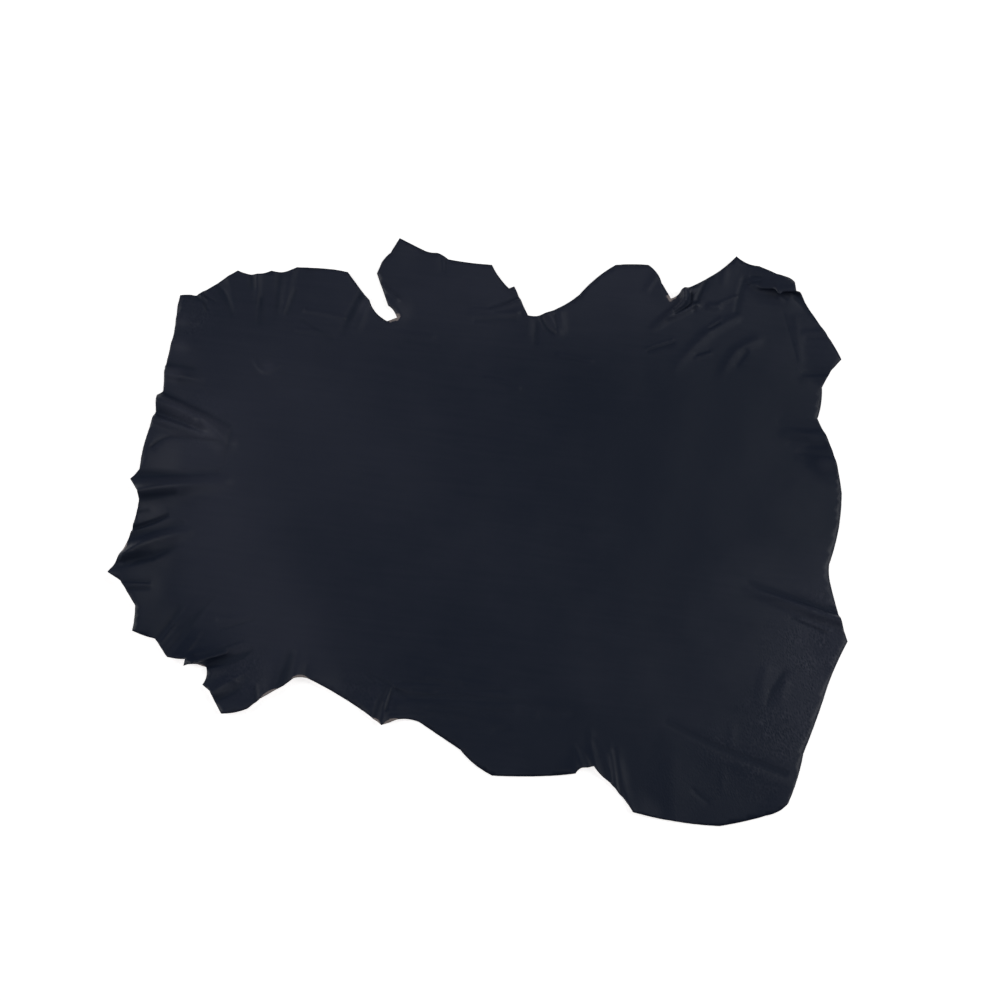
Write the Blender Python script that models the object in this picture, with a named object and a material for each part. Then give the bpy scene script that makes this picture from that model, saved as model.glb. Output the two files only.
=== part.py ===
"""A whole lambskin leather: one thin, supple skin with its natural outline, lying loose on a flat surface.

The middle lies flat. The ruffled edges stand off the surface, with soft folds that run in from them.
Metres, +Z up, X along the skin's longer way. The tables are in millimetres, seen from above.
"""

from collections import namedtuple

import bpy
import numpy as np
from mathutils import Vector
from mathutils.geometry import delaunay_2d_cdt

# Driving dimensions
MM = 0.001
THICKNESS = 1.2
FINE_STEP = 8.0
COARSE_STEP = 28.0
FOLD_MARGIN = 5.0
EDGE_STEP = 10.0
EDGE_CLEARANCE = 0.55
SLOPE_STEP = 0.5
MERGE = 0.0001

# Colour of the dyed grain side
GRAIN_COLOUR = (0.0145, 0.0168, 0.0252, 1.0)
GRAIN_ROUGHNESS = 0.5

# A corner of the outline, and how far the stretch that ends there swells outwards
Corner = namedtuple("Corner", "x y bow")

FAR_EDGE = (
    Corner(-404, 318, 0),
    Corner(-382, 319, 1),
    Corner(-347, 343, 0),
    Corner(-328, 355, 0),
    Corner(-311, 349, -1),
    Corner(-283, 355, -2),
    Corner(-249, 361, -4),
    Corner(-180, 353, 2),
    Corner(-150, 311, 0),
    Corner(-126, 281, -4),
    Corner(-113, 286, 0),
    Corner(-125, 303, -2),
    Corner(-141, 352, 0),
    Corner(-135, 368, 0),
    Corner(-123, 382, 1),
    Corner(-111, 403, 0),
    Corner(-77, 386, 0),
    Corner(-60, 383, -1),
    Corner(-45, 373, 1),
    Corner(14, 365, -1),
    Corner(37, 330, -2),
    Corner(44, 333, 0),
    Corner(62, 289, 0),
    Corner(78, 289, -1),
    Corner(132, 321, -3),
    Corner(181, 365, 3),
    Corner(225, 365, 1),
    Corner(242, 337, 3),
    Corner(254, 314, 0),
    Corner(268, 325, -2),
    Corner(306, 346, -1),
    Corner(344, 376, -2),
    Corner(374, 361, -3),
    Corner(397, 348, 0),
    Corner(421, 337, 1),
    Corner(437, 303, 0),
    Corner(453, 275, 0),
    Corner(478, 224, 1),
)

RIGHT_EDGE = (
    Corner(464, 209, 0),
    Corner(451, 186, 0),
    Corner(443, 141, 2),
    Corner(449, 126, 0),
    Corner(470, 36, 4),
    Corner(449, -61, 4),
    Corner(449, -86, -1),
    Corner(467, -166, -1),
    Corner(440, -222, -1),
    Corner(405, -311, 1),
    Corner(383, -375, 2),
)

NEAR_EDGE = (
    Corner(355, -390, 3),
    Corner(297, -403, 1),
    Corner(190, -386, 3),
    Corner(157, -344, -2),
    Corner(142, -328, 1),
    Corner(127, -330, 0),
    Corner(119, -337, -1),
    Corner(15, -339, 2),
    Corner(-25, -306, 3),
    Corner(-77, -270, 0),
    Corner(-105, -268, -2),
    Corner(-124, -276, 0),
    Corner(-165, -244, -1),
    Corner(-220, -214, -1),
    Corner(-236, -215, -1),
    Corner(-278, -241, 1),
    Corner(-293, -254, 0),
    Corner(-326, -261, 2),
    Corner(-342, -231, 0),
    Corner(-351, -223, 0),
    Corner(-348, -198, -3),
    Corner(-376, -199, -1),
    Corner(-374, -190, 0),
    Corner(-398, -186, 1),
    Corner(-414, -162, 0),
    Corner(-443, -153, 1),
)

LEFT_EDGE = (
    Corner(-441, -119, -1),
    Corner(-461, -87, 0),
    Corner(-478, -76, 0),
    Corner(-459, -46, 0),
    Corner(-442, 22, -2),
    Corner(-444, 32, 0),
    Corner(-455, 51, 0),
    Corner(-444, 65, 0),
    Corner(-428, 148, 3),
    Corner(-427, 170, 0),
    Corner(-420, 178, 0),
    Corner(-419, 214, 0),
    Corner(-407, 302, -2),
)

# A soft fold between two places, with its height at each, its half width and its sideways bow
Fold = namedtuple("Fold", "x1 y1 height1 x2 y2 height2 half_width bow")

LEFT_FOLDS = (
    Fold(-415, 284, 3, -383, 278, 1, 10, 0),
    Fold(-418, 247, 5, -386, 243, 1, 19, 0),
    Fold(-424, 204, 6, -374, 195, 1, 14, 0),
    Fold(-438, 164, 11, -369, 137, 10, 22, 3),
    Fold(-369, 137, 10, -336, 106, 4, 22, 2),
    Fold(-430, 137, 6, -350, 115, 4, 14, 0),
    Fold(-460, 23, 13, -415, 40, 11, 21, 1),
    Fold(-415, 40, 11, -340, 51, 2, 19, 0),
    Fold(-456, -58, 10, -412, -27, 9, 14, -3),
    Fold(-412, -27, 9, -382, -20, 2, 14, 0),
    Fold(-414, -178, 4, -373, -120, 1, 11, 0),
    Fold(-366, -193, 10, -316, -173, 4, 14, 1),
    Fold(-350, -246, 5, -290, -199, 1, 15, 2),
)

NEAR_FOLDS = (
    Fold(-268, -242, 5, -258, -180, 1, 19, 0),
    Fold(-237, -224, 9, -229, -172, 1, 15, 0),
    Fold(-125, -278, 5, -113, -220, 1, 11, 0),
    Fold(-104, -250, 3, 40, -254, 1, 14, -2),
    Fold(129, -337, 4, 122, -299, 1, 11, 1),
    Fold(148, -343, 4, 139, -285, 1, 11, 1),
    Fold(187, -383, 4, 172, -306, 1, 12, 2),
    Fold(235, -408, 4, 238, -285, 1, 24, 0),
    Fold(398, -357, 4, 290, -314, 1, 18, 0),
)

RIGHT_FOLDS = (
    Fold(474, -143, 7, 424, -126, 5, 14, 0),
    Fold(424, -126, 5, 345, -97, 1, 14, -2),
    Fold(458, 116, 6, 402, 119, 1, 14, 0),
    Fold(468, 75, 5, 422, 86, 1, 14, 0),
    Fold(464, 266, 4, 430, 263, 1, 12, 0),
    Fold(462, 198, 4, 428, 198, 1, 12, 0),
)

FAR_FOLDS = (
    Fold(366, 335, 3, 398, 331, 7, 14, -1),
    Fold(398, 331, 7, 430, 331, 10, 16, 0),
    Fold(340, 286, 3, 303, 264, 3, 13, -1),
    Fold(303, 264, 3, 258, 214, 1, 13, -2),
    Fold(367, 254, 2, 338, 236, 3, 13, -1),
    Fold(338, 236, 3, 319, 205, 1, 13, -1),
    Fold(270, 336, 8, 273, 310, 7, 10, 1),
    Fold(273, 310, 7, 230, 272, 1, 10, 0),
    Fold(84, 296, 4, 103, 266, 3, 12, 2),
    Fold(54, 311, 2, -14, 292, 1, 12, 0),
    Fold(-148, 322, 5, -166, 272, 1, 12, 0),
    Fold(-254, 364, 4, -269, 282, 1, 12, -1),
    Fold(-302, 356, 5, -301, 308, 1, 10, 0),
    Fold(-342, 350, 4, -330, 303, 1, 12, 1),
    Fold(-377, 326, 3, -372, 298, 1, 10, 0),
)

# A hollow between two folds, with its depth as a negative height
HOLLOWS = (
    Fold(-426, 178, -3, -331, 132, -1, 12, 2),
    Fold(-450, 57, -3, -345, 66, -1, 12, 0),
    Fold(-456, -28, -3, -388, -4, -1, 10, 0),
    Fold(-474, -66, -8, -424, -52, -5, 13, 0),
    Fold(-352, -198, -6, -312, -188, -4, 10, 1),
    Fold(-251, -220, -4, -239, -180, -1, 10, 0),
    Fold(464, -132, -4, 420, -113, -2, 9, 0),
    Fold(448, 127, -3, 398, 138, -1, 11, 0),
    Fold(422, 318, -3, 440, 297, -2, 10, 1),
    Fold(-158, 326, -3, -184, 266, -1, 11, 0),
    Fold(-310, 356, -3, -307, 332, -2, 10, 0),
    Fold(-360, 344, -4, -334, 293, -1, 10, 1),
)

FOLDS = LEFT_FOLDS + NEAR_FOLDS + RIGHT_FOLDS + FAR_FOLDS

# How round a fold's crest is, how hollow its flanks are, and how softly two folds meet
CREST_ROUNDNESS = 0.2
FLANK_HOLLOW = 1.8
MEETING = 5.0

# A place where the skin stands off the surface, its height and how far the rise reaches
Lift = namedtuple("Lift", "x y height reach")

LIFTS = (
    Lift(-420, 310, 5, 60),
    Lift(-430, 215, 6, 70),
    Lift(-450, 130, 9, 85),
    Lift(-470, 50, 17, 95),
    Lift(-478, -45, 16, 95),
    Lift(-465, -140, 12, 85),
    Lift(-385, -215, 9, 75),
    Lift(-325, -280, 9, 75),
    Lift(-235, -240, 9, 75),
    Lift(-130, -290, 6, 60),
    Lift(140, -345, 5, 50),
    Lift(190, -400, 4, 45),
    Lift(395, -395, 4, 55),
    Lift(480, -165, 5, 65),
    Lift(470, 90, 4, 50),
    Lift(485, 230, 5, 60),
    Lift(410, 355, 9, 65),
    Lift(345, 385, 4, 45),
    Lift(262, 335, 4, 45),
    Lift(70, 305, 3, 45),
    Lift(-115, 410, 4, 50),
    Lift(-122, 300, 4, 35),
    Lift(-190, 365, 3, 45),
    Lift(-310, 365, 5, 55),
)


def bowed(start, end, bow, parts):
    """The points of a shallow arc from start up to, but without, end, swelling by bow to its left."""
    across = Vector((start.y - end.y, end.x - start.x)).normalized()
    points = []
    for part in range(parts):
        share = part / parts
        swell = 4 * bow * share * (1 - share)
        points.append(start.lerp(end, share) + across * swell)
    return points


def outline():
    """The skin's rim, clockwise from above, in points about EDGE_STEP apart."""
    corners = FAR_EDGE + RIGHT_EDGE + NEAR_EDGE + LEFT_EDGE
    points = []
    for index, corner in enumerate(corners):
        start = Vector(corners[index - 1][:2])
        end = Vector(corner[:2])
        parts = max(1, round((end - start).length / EDGE_STEP))
        points += bowed(start, end, corner.bow, parts)
    return np.array(points)


def from_segment(points, start, end):
    """How far each point lies from a straight segment, and how far along it is its nearest place."""
    way = end - start
    share = np.clip((points - start) @ way / (way @ way), 0, 1)
    return np.linalg.norm(points - (start + share[:, None] * way), axis=1), share


def from_fold(points, fold, parts=6):
    """The same for a fold, whose middle line is bowed."""
    start = Vector((fold.x1, fold.y1))
    end = Vector((fold.x2, fold.y2))
    line = np.array(bowed(start, end, fold.bow, parts) + [end])
    nearest = np.full(len(points), np.inf)
    along = np.zeros(len(points))
    for part in range(parts):
        distance, share = from_segment(points, line[part], line[part + 1])
        closer = distance < nearest
        nearest = np.where(closer, distance, nearest)
        along = np.where(closer, (part + share) / parts, along)
    return nearest, along


def swell(distance, reach):
    """A smooth hump, 1 at its middle and nothing from reach on."""
    share = np.minimum(distance / reach, 1)
    return (1 - share**2) ** 2


def ridge(distance, reach):
    """A fold's cross section: a thin round crest, 1 high, with hollow flanks that end at reach."""
    share = np.minimum(distance / reach, 1)
    rounded = (np.hypot(share, CREST_ROUNDNESS) - CREST_ROUNDNESS) / (
        np.hypot(1, CREST_ROUNDNESS) - CREST_ROUNDNESS
    )
    return (1 - rounded) ** FLANK_HOLLOW


def relief(points, folds):
    """How far the folds rise, or the hollows sink, at each point. Where two meet, they run together."""
    total = np.zeros(len(points))
    for fold in folds:
        distance, along = from_fold(points, fold)
        crest = abs(fold.height1 + (fold.height2 - fold.height1) * along)
        total += (crest * ridge(distance, fold.half_width)) ** MEETING
    return total ** (1 / MEETING)


def height(points):
    """How high the underside stands off the surface at each point."""
    total = np.zeros(len(points))
    for lift in LIFTS:
        distance = np.hypot(points[:, 0] - lift.x, points[:, 1] - lift.y)
        total += lift.height * swell(distance, lift.reach)
    total += relief(points, FOLDS) - relief(points, HOLLOWS)
    return np.maximum(total, 0)


def upward(points):
    """The direction square to the underside at each point."""
    step_x = np.array((SLOPE_STEP, 0))
    step_y = np.array((0, SLOPE_STEP))
    slope_x = (height(points + step_x) - height(points - step_x)) / (2 * SLOPE_STEP)
    slope_y = (height(points + step_y) - height(points - step_y)) / (2 * SLOPE_STEP)
    normal = np.stack([-slope_x, -slope_y, np.ones(len(points))], axis=1)
    return normal / np.linalg.norm(normal, axis=1)[:, None]


def lattice(step, corner_low, corner_high):
    """A triangular grid of points over a box."""
    row_step = step * np.sqrt(3) / 2
    points = []
    for row, y in enumerate(np.arange(corner_low[1], corner_high[1], row_step)):
        offset = step / 2 if row % 2 else 0
        for x in np.arange(corner_low[0] + offset, corner_high[0], step):
            points.append((x, y))
    return np.array(points)


def inside(points, rim):
    """Which points lie inside the rim."""
    x, y = points[:, :1], points[:, 1:]
    x1, y1 = rim[:, 0], rim[:, 1]
    x2, y2 = np.roll(x1, -1), np.roll(y1, -1)
    crosses = (y1 > y) != (y2 > y)
    rise = np.where(y2 == y1, 1, y2 - y1)
    return (crosses & (x < x1 + (x2 - x1) * (y - y1) / rise)).sum(axis=1) % 2 == 1


def from_rim(points, rim):
    nearest = np.full(len(points), np.inf)
    for start, end in zip(rim, np.roll(rim, -1, axis=0)):
        nearest = np.minimum(nearest, from_segment(points, start, end)[0])
    return nearest


def from_folds(points):
    """How far each point lies outside the foot of the nearest fold."""
    nearest = np.full(len(points), np.inf)
    for fold in FOLDS:
        nearest = np.minimum(nearest, from_fold(points, fold)[0] - fold.half_width)
    return nearest


def inner_points(rim):
    """Points over the skin: fine where it folds and along the rim, coarse where it lies flat."""
    low, high = rim.min(axis=0), rim.max(axis=0)
    fine = lattice(FINE_STEP, low, high)
    fine = fine[inside(fine, rim)]
    depth = from_rim(fine, rim)
    near_fold = from_folds(fine) < FOLD_MARGIN
    fine = fine[near_fold & (depth > EDGE_CLEARANCE * FINE_STEP)]
    coarse = lattice(COARSE_STEP, low, high)
    coarse = coarse[inside(coarse, rim)]
    clear_of_folds = from_folds(coarse) > FOLD_MARGIN + EDGE_CLEARANCE * FINE_STEP
    coarse = coarse[clear_of_folds & (from_rim(coarse, rim) > EDGE_CLEARANCE * COARSE_STEP)]
    return np.concatenate([fine, coarse])


def leather():
    """The dyed leather's plain look."""
    material = bpy.data.materials.new("lambskin grain")
    material.use_nodes = True
    shader = material.node_tree.nodes["Principled BSDF"]
    shader.inputs["Base Color"].default_value = GRAIN_COLOUR
    shader.inputs["Roughness"].default_value = GRAIN_ROUGHNESS
    shader.inputs["Metallic"].default_value = 0.0
    return material


def skin():
    """The whole skin, one closed solid: its underside, its grain side and the cut edge between them."""
    rim = outline()
    count = len(rim)
    flat = np.concatenate([rim, inner_points(rim)])
    border = [(index, (index + 1) % count) for index in range(count)]
    made = delaunay_2d_cdt([Vector(point) for point in flat], border, [], 1, MERGE)
    flat = np.array([tuple(point) for point in made[0]])
    triangles = made[2]
    under = np.column_stack([flat, height(flat)])
    over = under + THICKNESS * upward(flat)
    middle = (flat.min(axis=0) + flat.max(axis=0)) / 2
    points = np.concatenate([under, over])
    points[:, :2] -= middle

    faces = []
    for a, b, c in triangles:
        turn = np.cross(flat[b] - flat[a], flat[c] - flat[a])
        if turn < 0:
            b, c = c, b
        faces.append((a, c, b))
        faces.append((a + len(flat), b + len(flat), c + len(flat)))
    for start, end in border:
        faces.append((start, start + len(flat), end + len(flat)))
        faces.append((start, end + len(flat), end))

    mesh = bpy.data.meshes.new("skin")
    mesh.from_pydata((points * MM).tolist(), [], faces)
    mesh.shade_smooth()
    mesh.materials.append(leather())
    piece = bpy.data.objects.new("skin", mesh)
    bpy.context.scene.collection.objects.link(piece)
    return piece


for old in list(bpy.data.objects):
    bpy.data.objects.remove(old)

skin()
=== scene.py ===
"""A whole lambskin leather, dyed dark navy, lying loose with its grain side up on a pale floor.

The skin is one thin sheet: a supple grain side, a pale suede flesh side and the cut edge between them.
Its outline, lifted edges and folds stand in short tables, in millimetres, as seen from above.
"""

from collections import namedtuple
from math import cos, radians, sin

import bpy
import numpy as np
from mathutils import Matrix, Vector, noise
from mathutils.geometry import delaunay_2d_cdt


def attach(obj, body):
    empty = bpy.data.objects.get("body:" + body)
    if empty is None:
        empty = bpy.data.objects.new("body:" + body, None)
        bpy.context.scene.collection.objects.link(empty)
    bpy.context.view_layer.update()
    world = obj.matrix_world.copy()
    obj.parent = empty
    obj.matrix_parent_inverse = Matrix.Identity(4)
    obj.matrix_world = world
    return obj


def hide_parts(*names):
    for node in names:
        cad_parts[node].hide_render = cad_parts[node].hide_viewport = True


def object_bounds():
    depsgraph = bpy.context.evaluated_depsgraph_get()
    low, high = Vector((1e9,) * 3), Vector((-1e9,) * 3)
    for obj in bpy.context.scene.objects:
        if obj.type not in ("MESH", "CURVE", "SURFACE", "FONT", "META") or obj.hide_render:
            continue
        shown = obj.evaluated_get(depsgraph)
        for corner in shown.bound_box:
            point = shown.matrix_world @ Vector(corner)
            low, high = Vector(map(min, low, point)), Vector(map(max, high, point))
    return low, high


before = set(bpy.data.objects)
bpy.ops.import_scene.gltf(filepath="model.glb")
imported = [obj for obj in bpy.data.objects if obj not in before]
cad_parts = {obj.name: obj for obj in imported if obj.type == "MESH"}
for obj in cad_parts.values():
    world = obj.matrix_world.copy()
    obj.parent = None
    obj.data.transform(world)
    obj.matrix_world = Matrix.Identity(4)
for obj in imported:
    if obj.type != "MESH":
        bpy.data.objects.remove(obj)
cad_low, cad_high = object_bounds()

MM = 0.001

# Sizes of the sheet and of its mesh
THICKNESS = 1.2
CREASE_STEP = 1.65
FOLD_STEP = 2.7
FLAT_STEP = 6.5
FOLD_MARGIN = 3.0
EDGE_STEP = 2.4
EDGE_CLEARANCE = 0.6
MERGE = 0.0001
RIM_REACH = 14.0

# How round a fold's crest is, how hollow its flanks are, and how softly two folds meet
CREST_ROUNDNESS = 0.2
FLANK_HOLLOW = 1.8
MEETING = 5.0

# The hand cut edge wavers by this much, over about this length
RAGGED = 0.2
RAGGED_LENGTH = 7.0

# A crease this deep is quite dull, and gets its full painted shade
CREASE_DULL_AND_SHADE_DEPTH = 1.6

# The flat middle is never quite flat
WAVE_HEIGHT = 0.9
WAVE_LENGTH = 70.0
RIPPLE_HEIGHT = 0.12
RIPPLE_LENGTH = 16.0

# A corner of the outline, and how far the stretch that ends there swells outwards
Corner = namedtuple("Corner", "x y bow")

FAR_EDGE = (
    Corner(-404, 318, 0),
    Corner(-382, 319, 1),
    Corner(-347, 343, 0),
    Corner(-328, 355, 0),
    Corner(-311, 349, -1),
    Corner(-283, 355, -2),
    Corner(-249, 361, -4),
    Corner(-180, 353, 2),
    Corner(-150, 311, 0),
    Corner(-126, 281, -4),
    Corner(-113, 286, 0),
    Corner(-125, 303, -2),
    Corner(-141, 352, 0),
    Corner(-135, 368, 0),
    Corner(-123, 382, 1),
    Corner(-111, 403, 0),
    Corner(-77, 386, 0),
    Corner(-60, 383, -1),
    Corner(-45, 373, 1),
    Corner(14, 365, -1),
    Corner(37, 330, -2),
    Corner(44, 333, 0),
    Corner(62, 289, 0),
    Corner(78, 289, -1),
    Corner(132, 321, -3),
    Corner(181, 365, 3),
    Corner(225, 365, 1),
    Corner(242, 337, 3),
    Corner(254, 314, 0),
    Corner(268, 325, -2),
    Corner(306, 346, -1),
    Corner(344, 376, -2),
    Corner(374, 361, -3),
    Corner(397, 348, 0),
    Corner(421, 337, 1),
    Corner(437, 303, 0),
    Corner(453, 275, 0),
    Corner(478, 224, 1),
)

RIGHT_EDGE = (
    Corner(464, 209, 0),
    Corner(451, 186, 0),
    Corner(443, 141, 2),
    Corner(449, 126, 0),
    Corner(470, 36, 4),
    Corner(449, -61, 4),
    Corner(449, -86, -1),
    Corner(467, -166, -1),
    Corner(440, -222, -1),
    Corner(405, -311, 1),
    Corner(383, -375, 2),
)

NEAR_EDGE = (
    Corner(355, -390, 3),
    Corner(297, -403, 1),
    Corner(190, -386, 3),
    Corner(157, -344, -2),
    Corner(142, -328, 1),
    Corner(127, -330, 0),
    Corner(119, -337, -1),
    Corner(15, -339, 2),
    Corner(-25, -306, 3),
    Corner(-77, -270, 0),
    Corner(-105, -268, -2),
    Corner(-124, -276, 0),
    Corner(-165, -244, -1),
    Corner(-220, -214, -1),
    Corner(-236, -215, -1),
    Corner(-278, -241, 1),
    Corner(-293, -254, 0),
    Corner(-326, -261, 2),
    Corner(-342, -231, 0),
    Corner(-351, -223, 0),
    Corner(-348, -198, -3),
    Corner(-376, -199, -1),
    Corner(-374, -190, 0),
    Corner(-398, -186, 1),
    Corner(-414, -162, 0),
    Corner(-443, -153, 1),
)

LEFT_EDGE = (
    Corner(-441, -119, -1),
    Corner(-461, -87, 0),
    Corner(-478, -76, 0),
    Corner(-459, -46, 0),
    Corner(-442, 22, -2),
    Corner(-444, 32, 0),
    Corner(-455, 51, 0),
    Corner(-444, 65, 0),
    Corner(-428, 148, 3),
    Corner(-427, 170, 0),
    Corner(-420, 178, 0),
    Corner(-419, 214, 0),
    Corner(-407, 302, -2),
)

# A soft fold between two places, with its height at each, its half width and its sideways bow
Fold = namedtuple("Fold", "x1 y1 height1 x2 y2 height2 half_width bow")

LEFT_FOLDS = (
    Fold(-415, 284, 3, -383, 278, 1, 8, 0),
    Fold(-418, 247, 5, -386, 243, 1, 19, 0),
    Fold(-424, 204, 6, -400, 199, 5, 13, 0),
    Fold(-400, 199, 5, -374, 195, 1, 12, 0),
    Fold(-438, 164, 11, -369, 137, 10, 22, 3),
    Fold(-369, 137, 10, -336, 106, 4, 22, 2),
    Fold(-430, 137, 6, -350, 115, 4, 14, 0),
    Fold(-460, 25, 13, -335, 51, 3, 20, 6),
    Fold(-450, 6, 2, -428, 11, 1, 7, 0),
    Fold(-458, -56, 10, -380, -18, 2, 14, 7),
    Fold(-458, -93, 1.5, -424, -91, 0.8, 5, 0),
    Fold(-414, -178, 1.6, -389, -138, 1.2, 7, 0),
    Fold(-389, -138, 1.2, -373, -120, 0.5, 7, 0),
    Fold(-384, -194, 1.2, -350, -130, 0.5, 7, -3),
    Fold(-334, -136, 1.2, -300, -131, 0.4, 6, 0),
    Fold(-366, -193, 9, -300, -167, 0.6, 14, 1),
    Fold(-350, -246, 5, -312, -216, 4, 14, 2),
    Fold(-312, -216, 4, -290, -199, 0.8, 13, 0),
)

NEAR_FOLDS = (
    Fold(-268, -242, 0.8, -258, -180, 0.4, 19, 0),
    Fold(-237, -224, 2.2, -229, -172, 0.6, 15, 0),
    Fold(-125, -278, 2.4, -120, -245, 2, 11, 0),
    Fold(-120, -245, 2, -113, -220, 0.8, 10, 0),
    Fold(-106, -225, 1.6, -60, -231, 0.8, 10, 0),
    Fold(-104, -250, 1.4, 40, -254, 0.6, 13, -2),
    Fold(-120, -265, 1.4, -66, -261, 0.8, 6, 0),
    Fold(-70, -211, 0.7, -28, -220, 0.5, 7, 0),
    Fold(129, -337, 2, 122, -299, 0.6, 10, 1),
    Fold(148, -343, 2, 139, -285, 0.6, 10, 1),
    Fold(171, -367, 0.8, 163, -301, 0.4, 8, 1),
    Fold(187, -383, 0.9, 172, -306, 0.4, 11, 2),
    Fold(239, -408, 1.5, 241, -300, 0.4, 30, 0),
    Fold(398, -357, 0.9, 290, -314, 0.3, 18, 0),
    Fold(317, -276, 0.4, 316, -302, 0.4, 9, 0),
    Fold(304, -329, 0.4, 302, -358, 0.4, 9, 0),
)

RIGHT_FOLDS = (
    Fold(474, -143, 7, 424, -126, 5, 14, 0),
    Fold(424, -126, 5, 345, -97, 0.5, 13, -2),
    Fold(407, -136, 1.2, 444, -151, 1.5, 4, 0),
    Fold(458, 116, 3, 402, 119, 0.6, 15, 0),
    Fold(468, 75, 2.5, 422, 86, 0.6, 15, 0),
    Fold(464, 266, 2, 430, 263, 0.5, 10, 0),
    Fold(462, 198, 1.6, 428, 198, 0.4, 10, 0),
    Fold(420, 285, 0.4, 424, 228, 0.3, 9, 0),
    Fold(362, -204, 0.8, 352, -242, 0.5, 13, 0),
    Fold(386, -222, 0.8, 378, -244, 0.5, 10, 0),
)

FAR_FOLDS = (
    Fold(366, 335, 3, 398, 331, 7, 12, -1),
    Fold(398, 331, 7, 430, 331, 10, 15, 0),
    Fold(349, 346, 0.3, 338, 300, 0.3, 9, -1),
    Fold(340, 286, 1.3, 303, 264, 1.6, 12, -1),
    Fold(303, 264, 1.6, 258, 214, 0.3, 13, -2),
    Fold(321, 285, 0.9, 299, 267, 0.9, 6, 0),
    Fold(367, 254, 1, 338, 236, 1.3, 13, -1),
    Fold(338, 236, 1.3, 319, 205, 0.2, 13, -1),
    Fold(270, 336, 8, 273, 310, 7, 9, 1),
    Fold(273, 310, 7, 255, 293, 6, 9, 1),
    Fold(255, 293, 6, 230, 272, 0.8, 9, 0),
    Fold(288, 306, 4, 250, 286, 4, 7, 1),
    Fold(307, 303, 2, 317, 303, 2, 8, 0),
    Fold(304, 299, 1, 343, 318, 1, 4, 1),
    Fold(328, 356, 0.8, 325, 338, 0.5, 9, 0),
    Fold(234, 346, 1.6, 222, 328, 1.2, 8, 0),
    Fold(221, 242, 0.9, 255, 254, 0.9, 3, 0),
    Fold(286, 229, 0.8, 304, 235, 0.8, 4, 0),
    Fold(84, 296, 2.4, 103, 266, 2, 12, 2),
    Fold(106, 294, 1.6, 108, 268, 1.2, 11, 0),
    Fold(63, 292, 1, 62, 264, 0.5, 9, 0),
    Fold(54, 311, 2.5, 13, 298, 1.6, 6, 1),
    Fold(13, 298, 1.6, -14, 296, 0.8, 6, 0),
    Fold(47, 293, 2.5, -14, 291, 0.8, 8, 0),
    Fold(102, 233, 0.9, 146, 223, 0.7, 5, 0),
    Fold(7, 200, 0.8, 50, 185, 0.8, 5, 1),
    Fold(-150, 270, 1, -65, 259, 0.8, 7, 0),
    Fold(-131, 331, 3, -113, 313, 2, 7, 0),
    Fold(-148, 322, 2.6, -166, 272, 1, 12, 0),
    Fold(-235, 297, 2, -184, 286, 2, 6, 1),
    Fold(-245, 268, 1.5, -200, 262, 0.7, 7, 2),
    Fold(-254, 364, 1.8, -262, 311, 1.5, 12, -1),
    Fold(-262, 311, 1.5, -269, 282, 0.5, 11, 0),
    Fold(-302, 356, 2, -301, 308, 0.8, 9, 0),
    Fold(-342, 350, 1.8, -330, 303, 0.6, 12, 1),
    Fold(-377, 326, 3, -372, 298, 0.8, 9, 0),
    Fold(-301, 225, 0.9, -288, 209, 2, 6, -2),
    Fold(-288, 209, 2, -270, 217, 0.9, 6, -2),
)

# Creases and hollows pressed into the grain, with their depth as a negative height
LEFT_CREASES = (
    Fold(-418, 218, -2, -382, 213, -1, 8, 0),
    Fold(-426, 178, -1.5, -331, 132, -1, 8, 2),
    Fold(-430, 149, -2, -366, 122, -0.8, 8, 1),
    Fold(-430, 98, -1.5, -408, 114, -1.2, 4, 2),
    Fold(-408, 114, -1.2, -338, 105, -0.8, 4, 2),
    Fold(-328, 125, -0.8, -339, 68, -0.4, 6, 0),
    Fold(-450, 57, -2.2, -345, 66, -1, 10, 0),
    Fold(-454, 20, -3, -399, 34, -1.6, 8, 0),
    Fold(-448, 4, -1.4, -432, 9, -0.8, 5, 0),
    Fold(-456, -19, -6, -406, 6, -2, 5, -2),
    Fold(-456, -30, -1.8, -388, -4, -0.9, 10, 0),
    Fold(-474, -66, -5, -424, -52, -3, 10, 0),
    Fold(-424, -52, -3, -393, -36, -0.8, 9, 0),
    Fold(-472, -60, -1.5, -430, -48, -0.8, 3, 0),
    Fold(-472, -72, -1.8, -430, -60, -0.8, 3, 0),
    Fold(-456, -88, -0.9, -426, -87, -0.7, 4, 0),
    Fold(-454, -99, -1.2, -426, -96, -0.7, 4, 0),
    Fold(-420, -174, -1.8, -397, -142, -1.6, 9, 0),
    Fold(-397, -142, -1.6, -384, -120, -0.5, 8, 0),
    Fold(-398, -181, -1.8, -371, -141, -1.6, 9, -1),
    Fold(-371, -141, -1.6, -341, -105, -0.4, 7, 1),
    Fold(-331, -149, -0.9, -290, -136, -0.6, 4, 0),
    Fold(-362, -185, -2, -302, -163, -0.6, 5, -1),
    Fold(-352, -198, -6, -312, -188, -4, 8, 1),
    Fold(-312, -188, -4, -290, -176, -0.8, 7, -1),
    Fold(-340, -244, -2, -304, -226, -0.9, 7, -2),
    Fold(-284, -226, -0.8, -283, -244, -1.3, 6, 0),
)

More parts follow.
